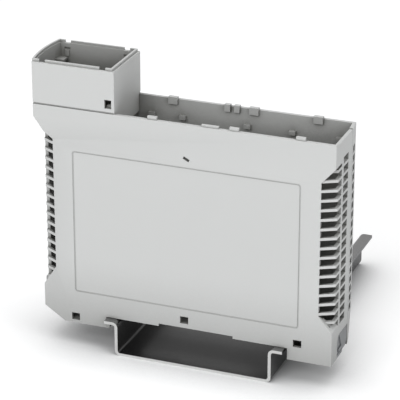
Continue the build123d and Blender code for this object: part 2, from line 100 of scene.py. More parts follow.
class Sock:
    """One output socket of a material, usable in Python expressions."""

    def __init__(self, graph: "Graph", socket: bpy.types.NodeSocket) -> None:
        """Wrap a socket.

        Args:
            graph: The node tree the socket belongs to.
            socket: The output socket.
        """
        self.graph = graph
        self.socket = socket

    def _join(self, op: Op, left: Any, right: Any) -> "Sock":
        """Add the node for one operation.

        Args:
            op: The operation.
            left: First operand, a socket, a number or a vector.
            right: Second operand, a socket, a number or a vector.

        Returns:
            The result's socket.
        """
        kinds = {item.socket.type for item in (left, right) if isinstance(item, Sock)}
        kind = "ShaderNodeVectorMath" if "VECTOR" in kinds else "ShaderNodeMath"
        return self.graph.node(kind, {"operation": op.value}, {0: left, 1: right})

    def __add__(self, other: Any) -> "Sock":
        """Sum."""
        return self._join(Op.ADD, self, other)

    def __radd__(self, other: Any) -> "Sock":
        """Reflected sum."""
        return self._join(Op.ADD, other, self)

    def __mul__(self, other: Any) -> "Sock":
        """Product."""
        return self._join(Op.MULTIPLY, self, other)

    def __rmul__(self, other: Any) -> "Sock":
        """Reflected product."""
        return self._join(Op.MULTIPLY, other, self)

    def __gt__(self, other: Any) -> "Sock":
        """One where this is greater."""
        return self._join(Op.GREATER, self, other)

    def __or__(self, other: Any) -> "Sock":
        """The larger of the two."""
        return self._join(Op.LARGER, self, other)


class Graph:
    """The node tree of one material or of the surroundings."""

    def __init__(self, owner: Union[bpy.types.Material, bpy.types.World]) -> None:
        """Start with an empty tree.

        Args:
            owner: The new material or world.
        """
        self.owner = owner
        self.owner.use_nodes = True
        self.tree = self.owner.node_tree
        self.tree.nodes.clear()

    @classmethod
    def of_material(cls, name: str) -> "Graph":
        """Start a material."""
        return cls(bpy.data.materials.new(name))

    def node(self, kind: str, settings: Optional[Dict[str, Any]] = None,
             inputs: Optional[Dict[Union[str, int], Any]] = None, output: Union[str, int] = 0) -> Sock:
        """Add one node.

        Args:
            kind: Blender's type of the node.
            settings: Properties set before the sockets.
            inputs: Values or links by socket name or number.
            output: Name or number of the socket to hand back.

        Returns:
            The chosen output socket.
        """
        made = self.tree.nodes.new(kind)
        for key, value in (settings or {}).items():
            setattr(made, key, value)
        for key, value in (inputs or {}).items():
            socket = made.inputs[key]
            if isinstance(value, Sock):
                self.tree.links.new(value.socket, socket)
            elif isinstance(value, tuple) and socket.type == "RGBA" and len(value) == 3:
                socket.default_value = (*value, 1.0)
            else:
                socket.default_value = value
        return Sock(self, made.outputs[output] if made.outputs else None)

    def place(self) -> Sock:
        """The point being shaded, in metres, in the object's own frame."""
        return self.node("ShaderNodeTexCoord", output="Object")

    def part(self, vector: Sock, axis: Axis) -> Sock:
        """One coordinate of a vector."""
        return self.node("ShaderNodeSeparateXYZ", inputs={0: vector}, output=axis.name)

    def noise(self, vector: Sock, scale: float, detail: float = 2.0, roughness: float = 0.5) -> Sock:
        """Soft noise between nought and one.

        Args:
            vector: Where to read it.
            scale: Lumps per metre.
            detail: Octaves.
            roughness: Weight of the finer octaves.

        Returns:
            The noise value.
        """
        return self.node("ShaderNodeTexNoise", {}, {
            "Vector": vector, "Scale": scale, "Detail": detail, "Roughness": roughness})

    def openness(self, reach: float, low: float, high: float) -> Sock:
        """How open the surface lies, from nought in a deep corner to one outside.

        Args:
            reach: How far round a point others count, in metres.
            low: Open share that counts as nought.
            high: Open share that counts as one.

        Returns:
            The openness.
        """
        share = self.node("ShaderNodeAmbientOcclusion", {"samples": 8}, {"Distance": reach}, output="AO")
        return self.node("ShaderNodeMapRange", {}, {"Value": share, "From Min": low, "From Max": high})

    def blend(self, mask: Union[Sock, float], first: Any, second: Any) -> Sock:
        """Mix two colours by a mask."""
        return self.node("ShaderNodeMix", {"data_type": "RGBA"}, {0: mask, 6: first, 7: second}, output=2)

    def bump(self, height: Sock, strength: float, distance: float) -> Sock:
        """Normal tilted by a height, given in metres of distance."""
        sizes = {"Height": height, "Strength": strength, "Distance": distance}
        return self.node("ShaderNodeBump", {}, sizes)

    def surface(self, shader: Sock) -> bpy.types.Material:
        """Send a shader to the surface and hand the material back."""
        self.node("ShaderNodeOutputMaterial", {}, {"Surface": shader})
        return self.owner

    def background(self, level: float) -> Sock:
        """White surroundings of one brightness."""
        return self.node("ShaderNodeBackground", {}, {"Color": WHITE, "Strength": level})

    def chosen(self, mask: Sock, first: Sock, second: Sock) -> Sock:
        """The second shader where the mask is one, else the first."""
        return self.node("ShaderNodeMixShader", {}, {0: mask, 1: first, 2: second})

    def principled(self, inputs: Dict[Union[str, int], Any]) -> Sock:
        """The usual surface shader."""
        return self.node("ShaderNodeBsdfPrincipled", {}, inputs)


@dataclass(frozen=True)
class HousingPlastic:
    """Light grey glass filled polyamide with a fine spark eroded surface, darkened with painted shade in its
    hollows and slots.

    Attributes:
        colour: Base colour where the surface lies open.
        deep: Painted shade, the base colour in the deepest corner.
        tint: Plain share of the colour, then what mottle and flow lines add.
        roughness: Plain roughness, then what mottle and grain add.
        grain_scale: Eroded grains per metre.
        grain_relief: Strength and height of the grain, in metres.
        mottle_scale: Mottles per metre.
        flow_scale: Flow lines per metre.
        flow_stretch: How the flow lines are drawn out.
        hollow: Reach in metres, and the open shares that count as nought and one, for the painted shade
            inside the housing.
        slot: The same for the painted shade inside a slot.
        gloss: Index of refraction and level of the reflection.
    """

    colour: Colour = (0.64, 0.648, 0.642)
    deep: Colour = (0.15, 0.15, 0.14)
    tint: Triple = (0.985, 0.02, 0.01)
    roughness: Triple = (0.45, 0.06, 0.05)
    grain_scale: float = 5200.0
    grain_relief: Pair = (0.25, 0.00006)
    mottle_scale: float = 55.0
    flow_scale: float = 160.0
    flow_stretch: Triple = (1.0, 1.0, 0.25)
    hollow: Triple = (0.04, 0.25, 0.98)
    slot: Triple = (0.004, 0.1, 0.7)
    gloss: Pair = (1.5, 0.45)

    def build(self, name: str = "housing_plastic") -> bpy.types.Material:
        """Make the material.

        Args:
            name: The material's name.

        Returns:
            The material.
        """
        g = Graph.of_material(name)
        spot = g.place()
        mottle = g.noise(spot, self.mottle_scale, 3.0)
        flow = g.noise(spot * self.flow_stretch, self.flow_scale, 2.0)
        grain = g.noise(spot, self.grain_scale, 2.0, 0.6)
        plain, mottled, flowed = self.tint
        # Painted shade: the colour darkens toward deep in corners, hollows and slots, the more closed they
        # lie; mottle and flow lines are the plastic's own tone
        painted_shade_and_mottle = g.openness(*self.hollow) * g.openness(*self.slot)
        painted_shade_and_mottle = painted_shade_and_mottle * (plain + mottle * mottled + flow * flowed)
        rough, uneven, coarse = self.roughness
        index, level = self.gloss
        return g.surface(g.principled({
            "Base Color": g.blend(painted_shade_and_mottle, self.deep, self.colour),
            "Roughness": rough + mottle * uneven + grain * coarse,
            "Normal": g.bump(grain, *self.grain_relief),
            "IOR": index, "Specular IOR Level": level}))


@dataclass(frozen=True)
class ZincPlate:
    """Bright passivated zinc on folded sheet steel, drawn lengthwise, darkened with painted shade in its
    folds.

    Attributes:
        colour: Base colour where the surface lies open.
        deep: Painted shade, the base colour in the deepest corner.
        sheared: Base colour of the cut ends.
        tint: Plain share of the colour, then what clouds add.
        roughness: Plain roughness, then what streaks and clouds add.
        sheared_roughness: What a cut end adds to the roughness.
        sheared_from: Square of the normal's share along the rail from which a face is a cut end.
        streak_scale: Streaks per metre.
        streak_stretch: How the streaks are drawn out.
        streak_relief: Strength and height of the streaks, in metres.
        cloud_scale: Clouds per metre.
        hollow: Reach in metres, and the open shares that count as nought and one, for the painted shade.
    """

    colour: Colour = (0.62, 0.62, 0.62)
    deep: Colour = (0.09, 0.09, 0.09)
    sheared: Colour = (0.86, 0.86, 0.85)
    tint: Pair = (0.9, 0.12)
    roughness: Triple = (0.18, 0.08, 0.06)
    sheared_roughness: float = 0.25
    sheared_from: float = 0.6
    streak_scale: float = 900.0
    streak_stretch: Triple = (1.0, 0.02, 1.0)
    streak_relief: Pair = (0.12, 0.00005)
    cloud_scale: float = 70.0
    hollow: Triple = (0.04, 0.35, 0.95)

    def build(self, name: str = "zinc_plate") -> bpy.types.Material:
        """Make the material.

        Args:
            name: The material's name.

        Returns:
            The material.
        """
        g = Graph.of_material(name)
        spot = g.place()
        streak = g.noise(spot * self.streak_stretch, self.streak_scale, 3.0)
        cloud = g.noise(spot, self.cloud_scale, 3.0)
        plain, clouded = self.tint
        # Painted shade: the plating darkens toward deep where the rail's folds close round it; clouds are the
        # zinc's own tone
        plated = g.blend(g.openness(*self.hollow) * (plain + cloud * clouded), self.deep, self.colour)
        rough, streaked, uneven = self.roughness
        along = g.part(g.node("ShaderNodeNewGeometry", output="True Normal"), Axis.Y)
        cut = along * along > self.sheared_from
        return g.surface(g.principled({
            "Base Color": g.blend(cut, plated, self.sheared),
            "Metallic": 1.0,
            "Roughness": rough + streak * streaked + cloud * uneven + cut * self.sheared_roughness,
            "Normal": g.bump(streak, *self.streak_relief)}))


@dataclass(frozen=True)
class StampedSteel:
    """Plain stamped steel of the catch and its spring.

    Attributes:
        colour: Base colour.
        tint: Plain share of the colour, then what clouds add.
        roughness: Plain roughness, then what brushing and clouds add.
        brush_scale: Brush lines per metre.
        brush_stretch: How the brush lines are drawn out.
        brush_relief: Strength and height of the brush lines, in metres.
        cloud_scale: Clouds per metre.
    """

    colour: Colour = (0.42, 0.43, 0.44)
    tint: Pair = (0.88, 0.14)
    roughness: Triple = (0.27, 0.1, 0.05)
    brush_scale: float = 2500.0
    brush_stretch: Triple = (0.1, 1.0, 1.0)
    brush_relief: Pair = (0.15, 0.00003)
    cloud_scale: float = 300.0

    def build(self, name: str = "stamped_steel") -> bpy.types.Material:
        """Make the material.

        Args:
            name: The material's name.

        Returns:
            The material.
        """
        g = Graph.of_material(name)
        spot = g.place()
        brushed = g.noise(spot * self.brush_stretch, self.brush_scale, 2.0)
        cloud = g.noise(spot, self.cloud_scale, 2.0)
        plain, clouded = self.tint
        rough, brushing, uneven = self.roughness
        return g.surface(g.principled({
            "Base Color": g.blend(plain + cloud * clouded, BLACK, self.colour),
            "Metallic": 1.0,
            "Roughness": rough + brushed * brushing + cloud * uneven,
            "Normal": g.bump(brushed, *self.brush_relief)}))


@dataclass(frozen=True)
class StudioWhite:
    """Pale floor that keeps the cast shadow, adds a painted contact shadow near the object, and meets a white
    background.

    Attributes:
        colour: Base colour.
        tint: Plain share of the colour, then what flecks add.
        roughness: Roughness.
        gloss: Level of the reflection.
        paper_scale: Flecks per metre.
        lift: Light that the open floor gives off towards the camera.
        hollow: Reach in metres, and the open shares that count as nought and one, for the painted contact
            shadow where the lift fades.
    """

    colour: Colour = (0.6, 0.605, 0.61)
    tint: Pair = (0.98, 0.02)
    roughness: float = 0.9
    gloss: float = 0.1
    paper_scale: float = 40.0
    lift: float = 0.56
    hollow: Triple = (0.04, 0.35, 0.97)

    def build(self, name: str = "studio_white") -> bpy.types.Material:
        """Make the material.

        Args:
            name: The material's name.

        Returns:
            The material.
        """
        g = Graph.of_material(name)
        paper = g.noise(g.place(), self.paper_scale, 2.0)
        even, flecked = self.tint
        base = g.blend(even + paper * flecked, BLACK, self.colour)
        plain = g.principled({
            "Base Color": base, "Roughness": self.roughness, "Specular IOR Level": self.gloss})
        # Painted shadow: the light the floor gives off toward the camera fades to nothing near the object
        lift_with_painted_shadow = g.blend(g.openness(*self.hollow), BLACK, WHITE)
        lifted = g.node("ShaderNodeEmission", {}, {"Color": lift_with_painted_shadow, "Strength": self.lift})
        both = g.node("ShaderNodeAddShader", {}, {0: plain, 1: lifted})
        return g.surface(g.chosen(g.node("ShaderNodeLightPath", output="Is Camera Ray"), plain, both))


class Solid:
    """A closed shape in millimetres, from the housing's lower front left corner."""

    def __init__(self, mesh: bpy.types.Mesh) -> None:
        """Wrap a mesh.

        Args:
            mesh: The closed mesh.
        """
        self.mesh = mesh

    @classmethod
    def of(cls, points: Sequence[Triple], faces: Sequence[Sequence[int]]) -> "Solid":
        """Make a solid from its corners and faces.

        Args:
            points: The corners.
            faces: Each face's corners by number.

        Returns:
            The solid, with its faces turned outward.
        """
        mesh = bpy.data.meshes.new("solid")
        mesh.from_pydata([Vector(point) for point in points], [], [list(face) for face in faces])
        work = bmesh.new()
        work.from_mesh(mesh)
        bmesh.ops.recalc_face_normals(work, faces=work.faces)
        work.to_mesh(mesh)
        work.free()
        return cls(mesh)

    @classmethod
    def rings(cls, rings: Sequence[Sequence[Triple]]) -> "Solid":
        """Skin a row of rings that have as many points each.

        Args:
            rings: The rings, one after the other.

        Returns:
            The solid, closed by the first and the last ring.
        """
        count = len(rings[0])
        points = [point for ring in rings for point in ring]
        faces = [list(range(count)), list(range(len(points) - count, len(points)))]
        for row in range(len(rings) - 1):
            for at in range(count):
                near, far = row * count + at, row * count + (at + 1) % count
                faces.append([near, far, far + count, near + count])
        return cls.of(points, faces)

    @classmethod
    def prism(cls, outline: Sequence[Pair], axis: Axis, reach: Pair) -> "Solid":
        """Draw a flat outline out along an axis.

        Args:
            outline: Corners in the two other coordinates, in the order of X, Y and Z.
            axis: The direction.
            reach: Where the solid starts and ends along the axis.

        Returns:
            The solid.
        """
        rings = []
        for along in reach:
            rows = [(first, second, along) for first, second in outline]
            rings.append([tuple(row[axis.value[index]] for index in range(3)) for row in rows])
        return cls.rings(rings)

    @classmethod
    def boxes(cls, spans: Sequence[Span]) -> "Solid":
        """Make boxes that don't touch one another.

        Args:
            spans: The X, Y and Z range of each box.

        Returns:
            All the boxes as one solid.
        """
        points: List[Triple] = []
        faces: List[List[int]] = []
        sides = ((0, 1, 3, 2), (4, 5, 7, 6), (0, 1, 5, 4), (2, 3, 7, 6), (0, 2, 6, 4), (1, 3, 7, 5))
        for x, y, z in spans:
            first = len(points)
            points += [(a, b, c) for a in x for b in y for c in z]
            faces += [[first + corner for corner in side] for side in sides]
        return cls.of(points, faces)

    def _combine(self, other: "Solid", operation: str) -> "Solid":
        """Join, cut or cross this solid with another.

        Args:
            other: The other solid.
            operation: Blender's name for what is done.

        Returns:
            The new solid.
        """
        pair = [bpy.data.objects.new("work", solid.mesh) for solid in (self, other)]
        for made in pair:
            bpy.context.scene.collection.objects.link(made)
        step = pair[0].modifiers.new("work", "BOOLEAN")
        step.operation, step.object, step.solver = operation, pair[1], "EXACT"
        ready = bpy.context.evaluated_depsgraph_get()
        mesh = bpy.data.meshes.new_from_object(pair[0].evaluated_get(ready))
        for made in pair:
            bpy.data.objects.remove(made)
        return Solid(mesh)

    def __add__(self, other: "Solid") -> "Solid":
        """Both together."""
        return self._combine(other, "UNION")

    def __sub__(self, other: "Solid") -> "Solid":
        """This without the other."""
        return self._combine(other, "DIFFERENCE")

    def __and__(self, other: "Solid") -> "Solid":
        """What both share."""
        return self._combine(other, "INTERSECT")

    def piece(self, name: str, material: bpy.types.Material, body: Optional[str], node: str,
              edge: float = 0.12) -> bpy.types.Object:
        """Set the solid down as a finished piece that stands for a node.

        Args:
            name: The piece's name.
            material: Its finish.
            body: The body it moves with, or None to leave it without one.
            node: The node it replaces.
            edge: Width of its soft edges, or nought.

        Returns:
            The piece.
        """
        mesh = self.mesh.copy()
        mesh.name = name
        place = Matrix.Translation(Vector(ORIGIN) * MM) @ Matrix.Scale(MM, 4)
        mesh.transform(place)
        work = bmesh.new()
        work.from_mesh(mesh)
        bmesh.ops.remove_doubles(work, verts=work.verts, dist=WELD)
        bmesh.ops.dissolve_limit(work, angle_limit=FLAT, verts=work.verts, edges=work.edges)
        work.to_mesh(mesh)
        work.free()
        mesh.materials.clear()
        mesh.materials.append(material)
        for face in mesh.polygons:
            face.use_smooth = True
            face.material_index = 0
        made = bpy.data.objects.new(name, mesh)
        bpy.context.scene.collection.objects.link(made)
        if edge:
            soft = made.modifiers.new("soft_edges", "BEVEL")
            soft.width, soft.segments, soft.limit_method = edge * MM, 2, "ANGLE"
            soft.angle_limit = math.radians(CREASE)
            soft.use_clamp_overlap, soft.harden_normals = True, True
        if body:
            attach(made, body)
        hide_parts(node)
        return made


def inset(outline: Sequence[Pair], amount: float) -> List[Pair]:
    """Move the sides of a closed outline inward.

    Args:
        outline: Its corners, anticlockwise.
        amount: How far each side moves.

    Returns:
        The new corners.
    """
    moved = []
    for at, here in enumerate(outline):
        before, after = outline[at - 1], outline[(at + 1) % len(outline)]
        into = Vector((here[0] - before[0], here[1] - before[1])).normalized()
        out = Vector((after[0] - here[0], after[1] - here[1])).normalized()
        across = Vector((-into.y, into.x)) + Vector((-out.y, out.x))
        across *= amount / (1 + into.dot(out))
        moved.append((here[0] + across.x, here[1] + across.y))
    return moved


def around(centre: float, width: float) -> Pair:
    """The two ends of a width set about a centre."""
    return (centre - width / 2, centre + width / 2)


def arc(centre: Pair, radius: float, start: float, end: float, steps: int = 6) -> List[Pair]:
    """Points along an arc.

    Args:
        centre: Its centre.
        radius: Its radius.
        start: First angle in degrees.
        end: Last angle in degrees.
        steps: Number of chords.

    Returns:
        The points, both ends included.
    """
    turns = [math.radians(start + (end - start) * step / steps) for step in range(steps + 1)]
    return [(centre[0] + radius * math.cos(turn), centre[1] + radius * math.sin(turn)) for turn in turns]


@dataclass(frozen=True)
class Vent:
    """One end of the housing: its bevelled corner, the slots round it and those behind it.

    Attributes:
        end: Which end it is.
        edge: X where the bevel leaves the front face.
        reach: How far the bevelled zone runs outward from there.
        low: Height of the zone's lower edge, at the bevel's edge and at its reach.
        high: Height of the zone's upper edge, in the same places.
        outer: X up to which the slots round the corner are cut.
        wrap: How far back they run.
        wrap_rows: Their first row, and the one after their last.
        through: X range in which the slots behind the corner are cut.
        through_rows: Their first row, and the one after their last.
    """

    end: End
    edge: float
    reach: float
    low: Pair
    high: Pair
    outer: float
    wrap: float
    wrap_rows: Tuple[int, int]
    through: Pair
    through_rows: Tuple[int, int]


RIGHT_VENT = Vent(End.RIGHT, edge=116.8, reach=9.0, low=(20.5, 10.3), high=(75.0, 85.2), outer=124.4,
                  wrap=7.3, wrap_rows=(-2, 16), through=(119.9, 124.4), through_rows=(-2, 16))
LEFT_VENT = Vent(End.LEFT, edge=8.0, reach=12.0, low=(23.0, 5.0), high=(77.2, 85.6), outer=-3.0,
                 wrap=3.5, wrap_rows=(-1, 15), through=(-2.0, 5.7), through_rows=(0, 14))


@dataclass
class Housing:
    """The two half shells with vented ends."""

    # Driving sizes
    width: float = 122.4
    depth: float = 26.0
    height: float = 90.7
    split: float = 19.5
    seam: float = 0.06
    wall: float = 1.3
    plate: float = 1.4

    # Front view: feet, rail recess, and the left end's shoulder, waist and ankle
    left_foot: Pair = (11.3, 29.2)
    right_foot: float = 104.6
    recess: float = 4.75
    arch: Pair = (51.5, 82.3)
    arch_top: float = 5.8
    shoulder: float = 85.6
    waist: Tuple[Pair, Pair] = ((3.9, 80.2), (3.7, 17.4))
    ankle: Tuple[Pair, Pair] = ((2.8, 16.5), (2.8, 5.6))
    hook: Tuple[Pair, ...] = ((27.9, 0.0), (30.1, 0.0), (30.7, 0.6), (30.7, 3.15), (27.9, 3.15))
    hook_depth: Pair = (0.02, 14.0)

    # Bowed left end, right end drawn in at the back, and rounded rear underside;
    # ends says up to which X a point is part of the left end and from which of the right one,
    # relief where the right end starts to draw in and how far, heel the underside in Y and Z
    bow: float = 1.5
    bow_steps: int = 12
    ends: Pair = (7.0, 118.0)
    relief: Pair = (20.5, 0.7)
    heel: Tuple[Pair, ...] = ((16.5, 0.0), (19.0, 0.3), (20.6, 0.9), (21.8, 2.2), (22.6, 4.2), (26.0, 14.5))
    heel_lean: float = 0.5
    heel_dip: float = 0.01

    # Vents, their bevels, and rows and columns of slots
    vents: Tuple[Vent, Vent] = (RIGHT_VENT, LEFT_VENT)
    vent_depth: Pair = (-2.3, 12.3)
    slack: float = 0.04
    bevel_slope: float = 0.54
    bevel_front: float = 1.5
    bevel_run: float = 12.0
    slot_start: float = 21.85
    slot_pitch: float = 3.88
    slot_open: float = 2.8
    columns: Tuple[Pair, Pair] = ((9.3, 15.1), (20.7, 24.4))

    # Front face: windows in X and Z, label field in X and Z, the line round it and the sight hole
    windows: Tuple[Pair, ...] = ((16.1, 2.7), (62.2, 9.1), (108.6, 7.3))
    window_size: Pair = (3.4, 3.0)
    window_deep: float = 2.2
    label: Tuple[Pair, Pair] = ((16.0, 109.0), (13.8, 73.5))
    label_round: float = 1.2
    label_deep: float = 0.08
    line_wide: float = 0.45
    line_deep: float = 0.13
    sight: Pair = (63.2, 76.8)
    sight_half: Pair = (1.3, 0.55)
    sight_turn: float = -28.0
    sight_deep: float = 2.4

    # Opening for the catch
    cut_front: float = 7.0
    cut_top: float = 9.6
    cut_past: float = 0.5
    cut_round: float = 3.2
    cut_deep: float = 2.4
    plate_rounds: Pair = (1.6, 3.0)
    catch_slot: Span = ((103.0, 107.0), (9.3, 18.7), (1.3, 3.45))

    # Rim: tabs and ridges by their middle or range in X, pegs, the step at the right end,
    # and the post beside the tower with its bottom, shoulder and top, and its front, neck and back
    tab_width: float = 3.7
    tab_foot: float = 2.0
    front_tab_y: Pair = (0.5, 1.6)
    back_tab_y: Pair = (-1.1, 0.7)
    front_tabs: Tuple[float, ...] = (49.2, 82.2, 108.4)
    front_tab_rise: float = 1.25
    front_ridge: Pair = (69.2, 76.0)
    front_ridge_rise: float = 0.8
    back_tabs: Tuple[float, ...] = (48.4, 81.6, 107.4)
    back_tab_rise: float = 0.9
    back_ridge: Tuple[Pair, Pair] = ((69.7, 72.0), (73.6, 75.8))
    pegs: Tuple[float, ...] = (39.7, 52.4, 78.9, 97.2, 116.0)
    peg_width: float = 2.5
    peg_y: Pair = (-1.5, 0.7)
    peg_z: Pair = (82.8, 84.4)
    step_from: float = 2.6
    step_down: float = 0.5
    post_x: Pair = (30.3, 32.5)
    post_z: Triple = (86.0, 90.1, 93.6)
    post_y: Triple = (0.7, 1.55, 2.75)

    # Arms of the back shell
    arm_width: float = 2.8
    arm_high: float = 1.3
    arm_back: float = 0.3
    arm_root: float = 0.5
    arm_drop: float = 0.5

    # How far cuts reach out of the front face, the right end, the split and the underside,
    # the height that the step is cut up to, and the range of the slabs that part the shells
    past_face: float = 1.0
    past_end: float = 3.0
    past_split: float = 1.0
    past_heel: float = 3.0
    step_top: float = 99.0
    slab_y: Pair = (-5.0, 40.0)
    slab_z: Pair = (-5.0, 120.0)

    finish: HousingPlastic = field(default_factory=HousingPlastic)

    def front_view(self, top: float) -> List[Pair]:
        """Outline of the housing seen from the front, anticlockwise.

        Args:
            top: Height it is carried up to.

        Returns:
            The corners.
        """
        (outside, inside), right = self.left_foot, self.right_foot
        start, end = self.arch
        under = [(inside, 0.0), (inside, self.recess), (start, self.recess), (start, self.arch_top),
                 (end, self.arch_top), (end, self.recess), (right, self.recess), (right, 0.0)]
        return [(outside, 0.0), *under, (self.width, 0.0), (self.width, top), (0.0, top),
                (0.0, self.shoulder), *self.waist, *self.ankle]

    def bowed(self, outline: Sequence[Pair], y: Pair) -> Solid:
        """Draw the front view out in depth, with the left end bowed and the right end relieved.

        Args:
            outline: The front view.
            y: Front and back.

        Returns:
            The solid.
        """
        steps = (self.depth * step / self.bow_steps for step in range(1, self.bow_steps))
        stations = sorted({*y, self.relief[0], *steps})
        rings = []
        for at in [place for place in stations if y[0] <= place <= y[1]]:
            share = 1 - ((at - self.depth / 2) / (self.depth / 2)) ** 2
            back = max(0.0, at - self.relief[0]) / (self.depth - self.relief[0]) * self.relief[1]
            ring = []
            for x, z in outline:
                move = -self.bow * share if x < self.ends[0] else (-back if x > self.ends[1] else 0.0)
                ring.append((x + move, at, z))
            rings.append(ring)
        return Solid.rings(rings)

    def heel_zone(self, moved: float) -> Solid:
        """The space under the rounded rear underside.

        Args:
            moved: How far the surface is moved into the housing.

        Returns:
            The space.
        """
        curve = [(y - self.heel_lean * moved, z + moved) for y, z in self.heel]
        front = curve[0][0]
        curve[0] = (front, curve[0][1] - self.heel_dip)
        rest = [(self.depth + PAST, curve[-1][1] + 3 * PAST), (self.depth + PAST, -self.past_heel),
                (front, -self.past_heel)]
        return Solid.prism(curve + rest, Axis.X, (-4 * PAST, self.width + 4 * PAST))

    def form(self, moved: float, y: Pair, top: float) -> Solid:
        """The outside of the housing, or the space inside it.

        Args:
            moved: How far the sides are moved inward.
            y: Front and back.
            top: Height of its open top.

        Returns:
            The form.
        """
        outline = inset(self.front_view(top + moved), moved) if moved else self.front_view(top)
        return self.bowed(outline, y) - self.heel_zone(moved)

    def vent_zone(self, vent: Vent, slack: float = 0.0) -> Solid:
        """The part of an end that its vent bevel covers, seen from the front.

        Args:
            vent: The end's vent.
            slack: How much is left off at its top and bottom.

        Returns:
            The zone, through the front half.
        """
        far = vent.edge + vent.end.value * vent.reach
        points = [(vent.edge, vent.low[0] + slack), (far, vent.low[1] + slack),
                  (far, vent.high[1] - slack), (vent.edge, vent.high[0] - slack)]
        # Anticlockwise at both ends
        if vent.end is End.LEFT:
            points.reverse()
        front, back = self.vent_depth
        return Solid.prism(points, Axis.Y, (front - slack, back))

    def wedge(self, vent: Vent, moved: float) -> Solid:
        """The space in front of a vent bevel.

        Args:
            vent: The end's vent.
            moved: How far the bevel is moved into the housing.

        Returns:
            The space.
        """
        side = vent.end.value
        rise = moved * math.hypot(1, self.bevel_slope)
        start = vent.edge - side * (rise + self.bevel_front) / self.bevel_slope
        far = vent.edge + side * self.bevel_run
        points = [(start, -self.bevel_front), (far, -self.bevel_front),
                  (far, self.bevel_run * self.bevel_slope + rise)]
        return Solid.prism(points, Axis.Z, (0.0, self.height))

    def row(self, index: int) -> Pair:
        """Lower and upper edge of a row of slots."""
        low = self.slot_start + self.slot_pitch * index
        return (low, low + self.slot_open)

    def slots(self) -> Solid:
        """Shape every slot that runs straight through an end wall.

        Returns:
            The slots.
        """
        spans = []
        for y in self.columns:
            for vent in self.vents:
                spans += [(vent.through, y, self.row(index)) for index in range(*vent.through_rows)]
        return Solid.boxes(spans)

    def corner_slots(self, vent: Vent) -> Solid:
        """Shape the slots of a bevelled corner.

        Args:
            vent: The end's vent.

        Returns:
            The slots, inside the vent zone.
        """
        x = (min(vent.edge, vent.outer), max(vent.edge, vent.outer))
        spans = [(x, (-PAST, vent.wrap), self.row(index)) for index in range(*vent.wrap_rows)]
        return Solid.boxes(spans) & self.vent_zone(vent, self.slack)

    def hull(self) -> Solid:
        """Shape both shells in one, before they are parted.

        Returns:
            The hollow housing with its vents.
        """
        outer = self.form(0.0, (0.0, self.depth), self.height)
        body = outer - self.form(self.wall, (self.plate, self.depth - self.plate), self.height + 2 * PAST)
        for vent in self.vents:
            zone = self.vent_zone(vent)
            body = body + ((self.wedge(vent, self.wall) & zone) & outer)
            body = body - (self.wedge(vent, 0.0) & zone)
            body = body - self.corner_slots(vent)
        body = body + Solid.prism(self.hook, Axis.Y, self.hook_depth)
        return body - self.slots()

    def label_form(self, moved: float, deep: float) -> Solid:
        """The label's rounded field, sunk into the front face.

        Args:
            moved: How far its edge is moved inward.
            deep: How deep it is sunk.

        Returns:
            The field.
        """
        (left, right), (low, high) = self.label
        radius = self.label_round
        corners = []
        for x, z, first in ((right - radius, high - radius, 0), (left + radius, high - radius, 90),
                            (left + radius, low + radius, 180), (right - radius, low + radius, 270)):
            corners += arc((x, z), radius - moved, first, first + 90, 5)
        return Solid.prism(corners, Axis.Y, (-self.past_face, deep))

    def sight_hole(self) -> Solid:
        """The small slanted sight hole above the label.

        Returns:
            The hole.
        """
        turn = math.radians(self.sight_turn)
        long, wide = self.sight_half
        corners = []
        for a, b in ((-long, -wide), (long, -wide), (long, wide), (-long, wide)):
            corners.append((self.sight[0] + a * math.cos(turn) - b * math.sin(turn),
                            self.sight[1] + a * math.sin(turn) + b * math.cos(turn)))
        return Solid.prism(corners, Axis.Y, (-self.past_face, self.sight_deep))

    def face_cuts(self) -> List[Solid]:
        """Label field, the line round it, sight hole and the windows of the arms.

        Returns:
            What is cut from the front face.
        """
        plane = self.label_form(self.line_wide, self.label_deep)
        line = self.label_form(0.0, self.line_deep) - plane
        wide, high = self.window_size
        y = (-self.past_face, self.window_deep)
        windows = Solid.boxes([(around(x, wide), y, around(z, high)) for x, z in self.windows])
        return [plane, line, self.sight_hole(), windows]

    def cutout(self, moved: float, low: float) -> List[Pair]:
        """Side view of the opening in the right foot for the pull plate.

        Args:
            moved: How far its edge is moved inward.
            low: Height of its lower end.

        Returns:
            The corners in Y and Z.
        """
        front, top = self.cut_front + moved, self.cut_top - moved
        back = self.split + self.cut_past - 2 * moved
        foot = [(front, low), (back, low)]
        if moved:
            near, far = self.plate_rounds
            foot = arc((front + near, low + near), near, 180, 270)
            foot += arc((back - far, low + far), far, 270, 360)
        crown = arc((front + self.cut_round, top - self.cut_round), self.cut_round, 90, 180)
        return foot + [(back, top)] + crown

    def front_rim(self) -> Solid:
        """Cover tabs and ridge on the front shell's rim.

        Returns:
            The tabs and the ridge.
        """
        low = self.height - self.tab_foot
        spans = [(around(x, self.tab_width), self.front_tab_y, (low, self.height + self.front_tab_rise))
                 for x in self.front_tabs]
        spans.append((self.front_ridge, self.front_tab_y, (low, self.height + self.front_ridge_rise)))
        return Solid.boxes(spans)

    def back_rim(self) -> Solid:
        """Cover tabs, ridge and board pegs on the back shell's rim.

        Returns:
            The tabs, the ridge and the pegs.
        """
        inner = self.depth - self.plate
        y = (inner + self.back_tab_y[0], inner + self.back_tab_y[1])
        z = (self.height - self.tab_foot, self.height + self.back_tab_rise)
        spans = [(around(x, self.tab_width), y, z) for x in self.back_tabs]
        spans += [(x, y, z) for x in self.back_ridge]
        y = (inner + self.peg_y[0], inner + self.peg_y[1])
        spans += [(around(x, self.peg_width), y, self.peg_z) for x in self.pegs]
        return Solid.boxes(spans)

